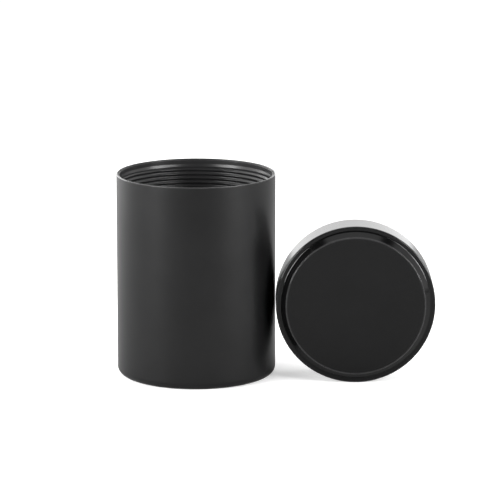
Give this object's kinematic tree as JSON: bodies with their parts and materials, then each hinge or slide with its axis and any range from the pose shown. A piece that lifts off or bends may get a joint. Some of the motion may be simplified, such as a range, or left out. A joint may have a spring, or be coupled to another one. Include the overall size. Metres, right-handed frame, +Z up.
{
  "type": "screw-top candle tin",
  "caption": "Tall straight-sided screw-top tin for a poured candle, open, with its flush lid standing on edge beside it",
  "frame": {"origin": "middle of the tin's flat base, on the surface it stands on", "axes": "+Z up along the tin's axis; +X from the tin towards the lid; the lid's top faces -Y"},
  "size_m": [0.1698, 0.0848, 0.1092],
  "materials": {
    "can": "satin matte black coating on aluminium",
    "lid": "satin matte black coating on aluminium",
    "thread": "satin black coating on rolled aluminium sheet",
    "gasket": "matte black",
    "liner": "closed-cell foam, fine pores"
  },
  "bodies": {
    "can": {"can_body": "can", "neck_ring": "thread"},
    "liner": {"liner_disc": "liner"},
    "seal": {"gasket_ring": "gasket"},
    "lid": {"lid_cap": "lid", "thread_collar": "thread"}
  },
  "joints": [
    {"name": "lid_swing", "type": "hinge", "parent": "can", "child": "liner", "pos_m": [0.01736, 0.06586, 0.05071], "axis": [0.5253, -0.6017, 0.6017], "range_deg": [0, 235.43]},
    {"name": "lid_drop", "type": "slide", "parent": "liner", "child": "seal", "axis": [0, 1, 0], "range_m": [0, 0.01058]},
    {"name": "lid_turn", "type": "hinge", "parent": "seal", "child": "lid", "pos_m": [0.08496, -0.0045, 0.0424], "axis": [0, 1, 0], "range_deg": [0, 1620]}
  ],
  "couplings": [
    {"joint": "lid_drop", "follows": "lid_turn", "m_per_rad": 0.00037401}
  ]
}
